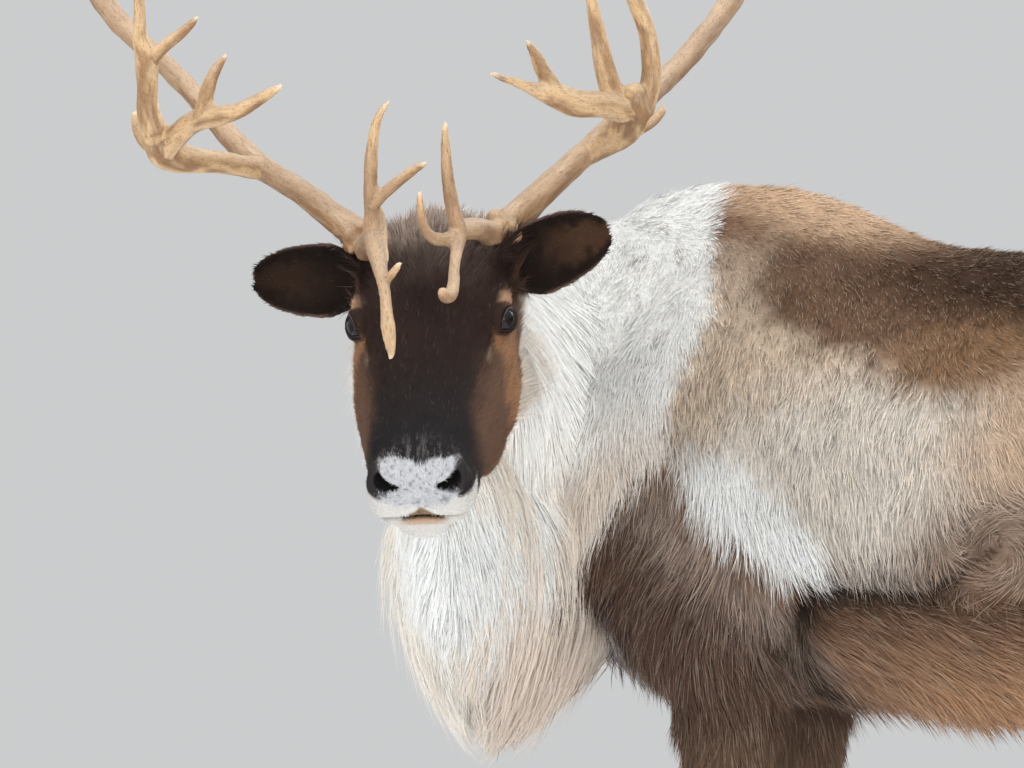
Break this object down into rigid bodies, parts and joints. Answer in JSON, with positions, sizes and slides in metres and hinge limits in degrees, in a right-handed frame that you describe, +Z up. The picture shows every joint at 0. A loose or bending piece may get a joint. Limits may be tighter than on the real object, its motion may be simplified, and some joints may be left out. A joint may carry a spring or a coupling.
{
  "type": "standing reindeer bull",
  "caption": "Life-size still reindeer bull in winter coat, standing with its head turned to its left, with tall branched antlers and a long white neck mane.",
  "frame": {"origin": "on the ground, below the middle of the whole animal's bounding box", "axes": "+Z up; the body heads along -X, its left side is -Y, and the head is turned to face -Y"},
  "size_m": [1.8013, 0.9194, 1.8196],
  "materials": {
    "coat": "matt fur",
    "face": "short matt fur",
    "mane": "long matt hair",
    "antler": "dry, slightly polished bone",
    "hoof": "dull horn",
    "eye": "wet gloss"
  },
  "bodies": {
    "root": {"foreleg_left_upper": "coat", "foreleg_left_lower": "coat", "foreleg_right_upper": "coat", "foreleg_right_lower": "coat", "hindleg_left_upper": "coat", "hindleg_left_lower": "coat", "hindleg_right_upper": "coat", "hindleg_right_lower": "coat", "torso": "coat", "tail": "coat", "neck": "mane", "foreleg_left_claw_inner": "hoof", "foreleg_left_dewclaw_inner": "hoof", "foreleg_left_claw_outer": "hoof", "foreleg_left_dewclaw_outer": "hoof", "foreleg_right_claw_inner": "hoof", "foreleg_right_dewclaw_inner": "hoof", "foreleg_right_claw_outer": "hoof", "foreleg_right_dewclaw_outer": "hoof", "hindleg_left_claw_inner": "hoof", "hindleg_left_dewclaw_inner": "hoof", "hindleg_left_claw_outer": "hoof", "hindleg_left_dewclaw_outer": "hoof", "hindleg_right_claw_inner": "hoof", "hindleg_right_dewclaw_inner": "hoof", "hindleg_right_claw_outer": "hoof", "hindleg_right_dewclaw_outer": "hoof", "head": "face", "eye_right": "eye", "eye_left": "eye", "ear_left": "face", "ear_right": "face", "antler_left_beam": "antler", "antler_left_crown": "antler", "antler_left_brow": "antler", "antler_left_bez": "antler", "antler_left_back_tine": "antler", "antler_right_beam": "antler", "antler_right_crown": "antler", "antler_right_brow": "antler", "antler_right_bez": "antler", "antler_right_back_tine": "antler"}
  },
  "joints": []
}
